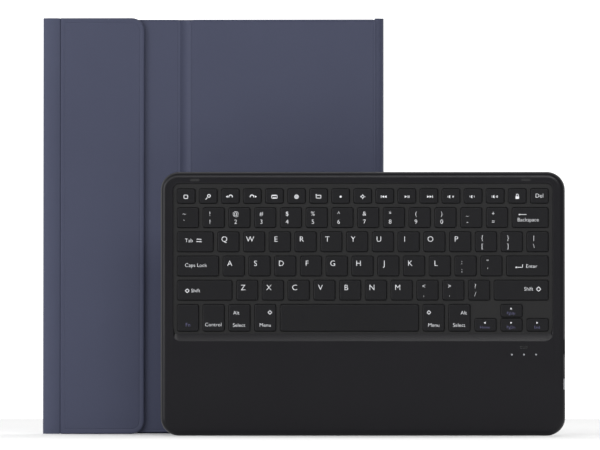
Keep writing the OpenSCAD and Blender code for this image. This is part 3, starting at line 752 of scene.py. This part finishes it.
# %% Legends of the letter and number keys
LETTER_H = 3.9
SIGN_H = 3.1
WORD_H = 2.6


def letter(text):
    return [("word", text, 0.31, 0.38, LETTER_H)]


def pair(upper, lower):
    return [("word", upper, 0.32, 0.31, SIGN_H), ("word", lower, 0.32, 0.72, SIGN_H)]


number_pairs = list(zip("~!@#$%^&*()_+", "`1234567890-="))
legends = {
    "number_keys": [pair(*signs) for signs in number_pairs],
    "top_letter_keys": [letter(c) for c in "QWERTYUIOP"] + [pair("{", "["), pair("}", "]"),
                                                          pair("|", "\\")],
    "home_letter_keys": [letter(c) for c in "ASDFGHJKL"] + [pair(":", ";"), pair('"', "'")],
    "bottom_letter_keys": [letter(c) for c in "ZXCVBNM"] + [pair("<", ","), pair(">", "."),
                                                           pair("?", "/")],
}

# %% Legends of the wide keys and the bottom row
LEFT_ARROW = 90
RIGHT_ARROW = -90
UP_ARROW = 0
DOWN_ARROW = 180
legends["tab_key"] = [[("left", "Tab", 0.21, 0.44, WORD_H), ("bar", 0.60, 0.37, 3.4, 0.4),
                       ("bar", 0.60, 0.49, 3.4, 0.4), ("triangle", 0.55, 0.37, 1.3, LEFT_ARROW),
                       ("triangle", 0.66, 0.49, 1.3, RIGHT_ARROW)]]
legends["caps_lock_key"] = [[("left", "Caps Lock", 0.18, 0.47, WORD_H)]]
legends["backspace_key"] = [[("left", "Backspace", 0.14, 0.62, WORD_H),
                             ("bar", 0.30, 0.35, 4.6, 0.4),
                             ("triangle", 0.20, 0.35, 1.5, LEFT_ARROW)]]
legends["enter_key"] = [[("left", "Enter", 0.46, 0.52, WORD_H), ("bar", 0.31, 0.57, 4.2, 0.4),
                         ("bar", 0.382, 0.50, 0.4, 2.0),
                         ("triangle", 0.23, 0.57, 1.6, LEFT_ARROW)]]
legends["left_shift_key"] = [[("ring4", 0.18, 0.53, 2.7), ("left", "Shift", 0.25, 0.53, WORD_H)]]
legends["right_shift_key"] = [[("left", "Shift", 0.55, 0.45, WORD_H), ("ring4", 0.82, 0.45, 3.0)]]
legends["fn_key"] = [[("dim", "Fn", 0.50, 0.77, WORD_H)]]
legends["control_key"] = [[("word", "Control", 0.48, 0.76, WORD_H)]]
legends["left_alt_key"] = [[("left", "Alt", 0.20, 0.32, WORD_H),
                            ("left", "Select", 0.18, 0.78, WORD_H)]]
legends["left_menu_key"] = [[("ring4", 0.72, 0.30, 2.6), ("word", "Menu", 0.50, 0.78, WORD_H)]]
legends["right_menu_key"] = [[("ring4", 0.27, 0.30, 2.6), ("word", "Menu", 0.50, 0.78, WORD_H)]]
legends["right_alt_key"] = [[("left", "Alt", 0.55, 0.32, WORD_H),
                             ("left", "Select", 0.18, 0.78, WORD_H)]]
ARROWS = (("arrow_left_key", "Home", LEFT_ARROW), ("arrow_up_key", "PgUp", UP_ARROW),
          ("arrow_down_key", "PgDn", DOWN_ARROW), ("arrow_right_key", "End", RIGHT_ARROW))
for node, sub, turn_to in ARROWS:
    legends[node] = [[("triangle", 0.47, 0.34, 1.7, turn_to), ("dim", sub, 0.47, 0.70, 2.0)]]

# %% [markdown]
# The function keys carry small signs: a frame, a lens, two bent arrows, a tiny keyboard, a globe,
# a frame with an arrow, a dim and a bright sun, the player's signs, three loudspeakers and a lock.
# The last key has a word. All are everyday signs made from the same few flat shapes.

# %% Signs of the function keys
MID = 0.55


def skip_sign(way):
    first, second, wall = (0.42, 0.56, 0.30) if way == LEFT_ARROW else (0.44, 0.58, 0.70)
    return [("triangle", first, MID, 2.0, way), ("triangle", second, MID, 2.0, way),
            ("bar", wall, MID, 0.4, 1.7)]


def speaker(waves):
    marks = [("triangle", 0.40, MID, 2.6, LEFT_ARROW), ("bar", 0.34, MID, 1.0, 1.0)]
    return marks + [("bar", 0.56 + 0.07 * k, MID, 0.35, 1.1 + 0.6 * k) for k in range(waves)]


legends["function_keys"] = [
    [("frame", 0.48, MID, 3.0, 2.8)],
    [("ring", 0.54, 0.49, 2.4), ("slant", 0.40, 0.68, 1.7, 0.5, 45)],
    [("arch", 0.52, MID, 3.0), ("triangle", 0.32, 0.54, 1.8, LEFT_ARROW)],
    [("arch", 0.48, MID, 3.0), ("triangle", 0.68, 0.54, 1.8, RIGHT_ARROW)],
    [("frame", 0.50, MID, 4.2, 2.6), ("bar", 0.50, 0.62, 2.4, 0.4), ("bar", 0.50, 0.48, 3.0, 0.4)],
    [("ring", 0.50, MID, 3.0), ("bar", 0.50, MID, 0.4, 2.6), ("bar", 0.50, MID, 2.6, 0.4)],
    [("frame", 0.50, MID, 3.6, 2.4), ("triangle", 0.37, 0.42, 1.5, LEFT_ARROW)],
    [("disc", 0.50, MID, 1.5)],
    [("ring", 0.50, MID, 2.0)] + [("slant", 0.50 + 0.12 * math.cos(a), MID + 0.14 * math.sin(a),
                                   0.5, 0.5, 45) for a in (0, math.pi / 2, math.pi, -math.pi / 2)],
    skip_sign(LEFT_ARROW),
    [("triangle", 0.42, MID, 2.0, RIGHT_ARROW), ("bar", 0.56, MID, 0.4, 1.7),
     ("bar", 0.63, MID, 0.4, 1.7)],
    skip_sign(RIGHT_ARROW),
    speaker(0) + [("slant", 0.62, MID, 1.5, 0.35, 45), ("slant", 0.62, MID, 1.5, 0.35, -45)],
    speaker(1),
    speaker(2),
    [("bar", 0.50, 0.62, 2.4, 1.7), ("ring", 0.50, 0.46, 1.9)],
    [("word", "Del", 0.50, 0.50, 2.9)],
]

# %% Print the legends
SIGN_FRAME = 0.45


def print_mark(mark, low, high):
    """Makes one mark on the cap between two corners; returns the pieces it is made of."""
    kind = mark[0]
    at = 2 if kind in ("word", "left", "dim") else 1
    x = low[0] + mark[at] * (high[0] - low[0])
    z = high[2] - mark[at + 1] * (high[2] - low[2])
    y = low[1]
    if kind in ("word", "left", "dim"):
        return [word(mark[1], x, z, y, mark[4] * MM, "LEFT" if kind == "left" else "CENTER")]
    w = mark[3] * MM
    if kind == "bar":
        return [flat_shape("bar", x, z, y, w, mark[4] * MM)]
    if kind == "slant":
        return [flat_shape("bar", x, z, y, w, mark[4] * MM, mark[5])]
    if kind == "triangle":
        return [flat_shape("triangle", x, z, y, w, turn=mark[4])]
    if kind == "frame":
        h = mark[4] * MM
        t = SIGN_FRAME * MM
        return ([flat_shape("bar", x, z + s * (h - t) / 2, y, w, t) for s in (-1, 1)]
                + [flat_shape("bar", x + s * (w - t) / 2, z, y, t, h) for s in (-1, 1)])
    if kind == "ring4":
        t = SIGN_FRAME * MM
        return [flat_shape("bar", x + sx * w / 4, z + sz * w / 4, y, w * 0.72, t, -45 * sx * sz)
                for sx in (-1, 1) for sz in (-1, 1)]
    return [flat_shape(kind, x, z, y, w)]


dim_prints = []
ink_prints = []
for node, rows in legends.items():
    bright, dim = [], []
    for (low, high), marks in zip(key_boxes[node], rows):
        for mark in marks:
            (dim if mark[0] == "dim" else bright).extend(print_mark(mark, low, high))
    for made, kept, suffix in ((bright, ink_prints, "_legend"), (dim, dim_prints, "_dim_legend")):
        if made:
            ink = join(made, node + suffix)
            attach(ink, node)
            kept.append(ink)
print("legends:", len(ink_prints) + len(dim_prints), "pieces")

# %% [markdown]
# Materials. A small class wraps a shader socket, so a pattern can be written as a sum or a
# product, and one method makes any other node. Colours go through Mix nodes. Only colour,
# roughness and the bump vary over a surface; the rest is set on the shader's own sockets.

# %% Shader expressions


class Field:
    """A socket that takes part in Python expressions; each operator adds a Math node."""

    def __init__(self, finish, socket):
        self.finish = finish
        self.socket = socket

    def _math(self, operation, a, b):
        return self.finish.node("ShaderNodeMath", {"operation": operation}, {0: a, 1: b})

    def __add__(self, other):
        return self._math("ADD", self, other)

    def __sub__(self, other):
        return self._math("SUBTRACT", self, other)

    def __rsub__(self, other):
        return self._math("SUBTRACT", other, self)

    def __mul__(self, other):
        return self._math("MULTIPLY", self, other)

    __radd__ = __add__
    __rmul__ = __mul__


class Finish:
    """A procedural material on Object coordinates."""

    def __init__(self, name, **fixed):
        self.material = bpy.data.materials.new(name)
        self.material.use_nodes = True
        self.tree = self.material.node_tree
        self.shader = self.tree.nodes["Principled BSDF"]
        for socket, value in fixed.items():
            self.shader.inputs[socket.replace("_", " ")].default_value = value
        self.place = self.node("ShaderNodeTexCoord", {}, {}, "Object")

    def node(self, kind, settings, sockets, output=0):
        """Adds any node: settings are its own, sockets its inputs, linked or set."""
        made = self.tree.nodes.new(kind)
        for key, value in settings.items():
            setattr(made, key, value)
        for key, value in sockets.items():
            if isinstance(value, Field):
                self.tree.links.new(value.socket, made.inputs[key])
            else:
                made.inputs[key].default_value = value
        return Field(self, made.outputs[output])

    def noise(self, scale, detail=3, rough=0.5):
        return self.node("ShaderNodeTexNoise", {}, {"Vector": self.place, "Scale": scale,
                                                   "Detail": detail, "Roughness": rough})

    def cells(self, scale):
        return self.node("ShaderNodeTexVoronoi", {"feature": "SMOOTH_F1"},
                         {"Vector": self.place, "Scale": scale})

    def mix(self, factor, a, b):
        """A colour between a and b; sockets 6, 7 and output 2 are the node's colour ones."""
        return self.node("ShaderNodeMix", {"data_type": "RGBA"},
                         {0: factor, 6: (*a, 1), 7: (*b, 1)}, 2)

    def wear(self, colour=None, rough=None, height=None, strength=0.3, distance=0.1 * MM):
        """Links what varies to the shader."""
        if colour is not None:
            self.tree.links.new(colour.socket, self.shader.inputs["Base Color"])
        if rough is not None:
            self.tree.links.new(rough.socket, self.shader.inputs["Roughness"])
        if height is not None:
            bump = self.node("ShaderNodeBump", {}, {"Strength": strength, "Distance": distance,
                                                    "Height": height})
            self.tree.links.new(bump.socket, self.shader.inputs["Normal"])
        return self.material


# %% [markdown]
# Synthetic leather: fine round pebbles with tight valleys between them, from a cell pattern, over
# a soft unevenness. The valleys are a little darker and duller, and broad cloudy patches keep the
# colour from looking painted.

# %% Leather
def leather(name, dark, light, grain=900):
    finish = Finish(name, Specular_IOR_Level=0.25)
    pebbles = finish.cells(grain)
    folds = finish.noise(grain * 0.35, 4, 0.6)
    clouds = finish.noise(14, 3, 0.55)
    shade = clouds * 0.6 + folds * 0.25 + pebbles * 0.15
    return finish.wear(finish.mix(shade, dark, light), 0.50 + folds * 0.16 - clouds * 0.05,
                       pebbles * 0.6 + folds * 0.5, 0.35, 0.12 * MM)


navy_leather = leather("navy_leather", (0.043, 0.048, 0.084), (0.057, 0.064, 0.108))
# The latch strip is the same navy leather with a finer grain, made lighter: the lighter tone is
# painted light, for the light its rounded band catches from the left.
strip_leather_painted_light = leather("navy_leather_padded_painted_light", (0.047, 0.053, 0.091), (0.062, 0.070, 0.116), 1100)

# %% [markdown]
# Moulded plastic has a fine spark texture all over, seen as a soft sheen. The case, the caps and
# the deck differ only a little in tone and gloss, as they do where parts come from different
# moulds.

# %% Plastics, rubber and ink


def moulded(name, dark, light, rough, grain=1800, bump=0.18, shine=0.45):
    finish = Finish(name, Specular_IOR_Level=shine)
    spark = finish.noise(grain, 2, 0.6)
    tone = finish.noise(22, 3)
    return finish.wear(finish.mix(tone * 0.7 + spark * 0.3, dark, light),
                       rough - 0.06 + spark * 0.12 + tone * 0.04, spark, bump, 0.04 * MM)


case_plastic = moulded("case_plastic", (0.0014, 0.0012, 0.0030), (0.0030, 0.0027, 0.0048), 0.31,
                       bump=0.12, shine=0.27)
cap_plastic = moulded("cap_plastic", (0.0026, 0.0026, 0.0038), (0.0044, 0.0044, 0.0058), 0.36, 2200,
                      shine=0.24)
deck_plastic = moulded("deck_plastic", (0.0060, 0.0060, 0.0064), (0.0085, 0.0085, 0.0090), 0.42,
                       shine=0.3)
tray_plastic = moulded("tray_plastic", (0.014, 0.014, 0.016), (0.020, 0.020, 0.023), 0.50)
rubber = moulded("rubber", (0.008, 0.008, 0.009), (0.013, 0.013, 0.014), 0.75, 900, 0.3)
lens_dark = moulded("window_lens", (0.004, 0.004, 0.005), (0.006, 0.006, 0.008), 0.18, 400, 0.02)
link_white = moulded("link_plastic", (0.62, 0.62, 0.60), (0.74, 0.74, 0.71), 0.45)
dome_grey = moulded("dome_silicone", (0.20, 0.20, 0.20), (0.28, 0.28, 0.28), 0.40)
# The membrane sheet and the flat cable are a dark printed film. The film's darkness is also painted
# shade: it stands in for the shade in the gaps between the caps.
dark_film_painted_gap_shade = moulded("printed_film_painted_gap_shade", (0.012, 0.012, 0.013), (0.018, 0.018, 0.019), 0.30, 500, 0.05)
ink_white = moulded("legend_ink", (0.70, 0.71, 0.74), (0.86, 0.87, 0.90), 0.55, 3000, 0.1)
ink_dim = moulded("legend_ink_dim", (0.095, 0.092, 0.190), (0.140, 0.136, 0.260), 0.55, 3000, 0.1)
lamp_lens = moulded("lamp_lens", (0.25, 0.26, 0.28), (0.35, 0.36, 0.38), 0.25, 800, 0.05)


# %% [markdown]
# The lining is a short-napped microfibre: a dense fibre noise at two scales that lightens the tips
# and scatters the light. The metals and the boards inside are seen only when the case is taken
# apart, but each still gets its own finish.

# %% Lining, board, metals and the rest
def napped(name, dark, light):
    finish = Finish(name, Sheen_Weight=0.35, Sheen_Roughness=0.4)
    fibres = finish.noise(2400, 3, 0.7)
    brushed = finish.noise(60, 4, 0.6)
    return finish.wear(finish.mix(fibres * 0.6 + brushed * 0.4, dark, light),
                       0.80 + fibres * 0.15, fibres, 0.5, 0.1 * MM)


def metal(name, tone, rough, stretch=(400, 8000, 400)):
    finish = Finish(name, Metallic=1.0)
    along = finish.node("ShaderNodeMapping", {}, {"Vector": finish.place, "Scale": stretch})
    lines = finish.node("ShaderNodeTexNoise", {}, {"Vector": along, "Scale": 1.0, "Detail": 3})
    dark = tuple(0.86 * v for v in tone)
    return finish.wear(finish.mix(lines, dark, tone), rough + lines * 0.15, lines, 0.1, 0.03 * MM)


lining = napped("microfibre", (0.060, 0.064, 0.082), (0.105, 0.110, 0.135))
board = napped("fibreboard", (0.22, 0.20, 0.16), (0.34, 0.31, 0.26))
plated = metal("plated_steel", (0.62, 0.63, 0.65), 0.28)
foil = metal("cell_foil", (0.58, 0.59, 0.61), 0.38, (900, 900, 900))
circuit = moulded("solder_mask", (0.012, 0.085, 0.035), (0.020, 0.130, 0.055), 0.35, 700, 0.1)

# %% Give every piece and every CAD node its finish
finishes = {navy_leather: [wide, narrow, crease, spine, front_corner, back_corner, back, flap,
                           edge_join, flap_join],
            strip_leather_painted_light: [turn], board: [stiffener], case_plastic: [case],
            tray_plastic: [trim],
            lamp_lens: [lights], lens_dark: [lens], cap_plastic: list(key_rows.values()),
            ink_white: ink_prints, ink_dim: dim_prints}
node_finishes = {
    navy_leather: ["wide_panel_skin", "narrow_panel_skin", "spine_skin", "back_cover_skin",
                   "strip_inner", "strip_outer", "flap_skin", "flap_lining"],
    board: ["wide_panel_board", "narrow_panel_board", "spine_board", "back_cover_board",
            "flap_board"],
    lining: ["wide_panel_lining", "narrow_panel_lining", "back_cover_lining"],
    plated: ["dock_magnets", "latch_plates", "flap_magnets", "keyboard_magnets", "base_screws",
             "support_plate", "charging_socket", "switch_body"],
    tray_plastic: ["tablet_tray"], case_plastic: ["top_case", "keyboard_base"],
    deck_plastic: ["key_deck"], rubber: ["bumper_pads", "base_feet"],
    dark_film_painted_gap_shade: ["membrane_sheet", "flat_cable"], dome_grey: ["rubber_domes"],
    link_white: ["scissor_links"], circuit: ["circuit_board"], foil: ["battery_cell"],
    lamp_lens: ["indicator_lights"], cap_plastic: ["power_switch_knob", *key_boxes]}


def dress(piece, material):
    piece.data.materials.clear()
    piece.data.materials.append(material)


for material, pieces in finishes.items():
    for piece in pieces:
        dress(piece, material)
for material, names in node_finishes.items():
    for name in names:
        dress(frame["nodes"][name], material)
bare = set(frame["nodes"]) - {name for names in node_finishes.values() for name in names}
print("nodes without a finish:", sorted(bare))

# %% [markdown]
# The stage: a pale floor that ends against a background as pale as itself, and soft light from a
# large panel high on the left, with weaker ones beside it and on the right. The room is pale
# behind the object and darker on the viewer's side, so black plastic stays black.

# %% Floor and light
bpy.context.scene.view_settings.view_transform = "Standard"
FLOOR_SIDE = 2.6
FLOOR_DROP = 0.2 * MM
deselect()
bpy.ops.mesh.primitive_plane_add(size=FLOOR_SIDE, location=(0, 0, -FLOOR_DROP))
floor = bpy.context.object
floor.name = "floor"
floor_finish = Finish("pale_floor", Roughness=0.9)
dust = floor_finish.noise(3, 2)
dress(floor, floor_finish.wear(floor_finish.mix(dust, (0.93, 0.93, 0.93), (0.96, 0.96, 0.96))))


def lamp(name, place, aim, size, power):
    deselect()
    bpy.ops.object.light_add(type="AREA", location=place)
    light = bpy.context.object
    light.name = name
    light.data.shape = "RECTANGLE"
    light.data.size, light.data.size_y = size
    light.data.energy = power
    light.rotation_euler = (Vector(aim) - Vector(place)).to_track_quat("-Z", "Y").to_euler()
    return light


MIDDLE = (0, 0, 0.14)
lamp("key_light", (-0.9, -2.3, 1.9), MIDDLE, (2.6, 1.0), 24)
lamp("side_light", (-1.7, -1.2, 0.5), MIDDLE, (0.8, 1.4), 16)
lamp("front_light", (0.55, -2.2, 1.2), MIDDLE, (0.7, 0.5), 12)
world = bpy.data.worlds.new("studio")
bpy.context.scene.world = world
world.use_nodes = True
sky = world.node_tree
ways = sky.nodes.new("ShaderNodeTexCoord")
split = sky.nodes.new("ShaderNodeSeparateXYZ")
blend = sky.nodes.new("ShaderNodeMapRange")
for socket, value in (("From Min", -0.1), ("From Max", 0.5), ("To Min", 0.40), ("To Max", 1.5)):
    blend.inputs[socket].default_value = value
sky.links.new(ways.outputs["Generated"], split.inputs[0])
sky.links.new(split.outputs["Y"], blend.inputs["Value"])
sky.nodes["Background"].inputs["Color"].default_value = (1, 1, 1, 1)
sky.links.new(blend.outputs[0], sky.nodes["Background"].inputs["Strength"])

# %% [markdown]
# The camera stands far off with a long lens, so the folio and the keyboard keep nearly the same
# scale, and low down, so their feet line up. It stands in front of the keyboard.

# %% Camera
SPAN = 0.421
DISTANCE = 3.9
SENSOR = 36
CAMERA_X = 0.068
CAMERA_Z = 0.044
AIM = Vector((-1.9 * MM, wide_low.y, 146.5 * MM))
deselect()
bpy.ops.object.camera_add(location=(CAMERA_X, AIM.y - DISTANCE, CAMERA_Z))
camera = bpy.context.object
camera.data.sensor_width = SENSOR
camera.data.lens = SENSOR * DISTANCE / SPAN
camera.data.clip_end = 200
camera.rotation_euler = (AIM - camera.location).to_track_quat("-Z", "Y").to_euler()
bpy.context.scene.camera = camera
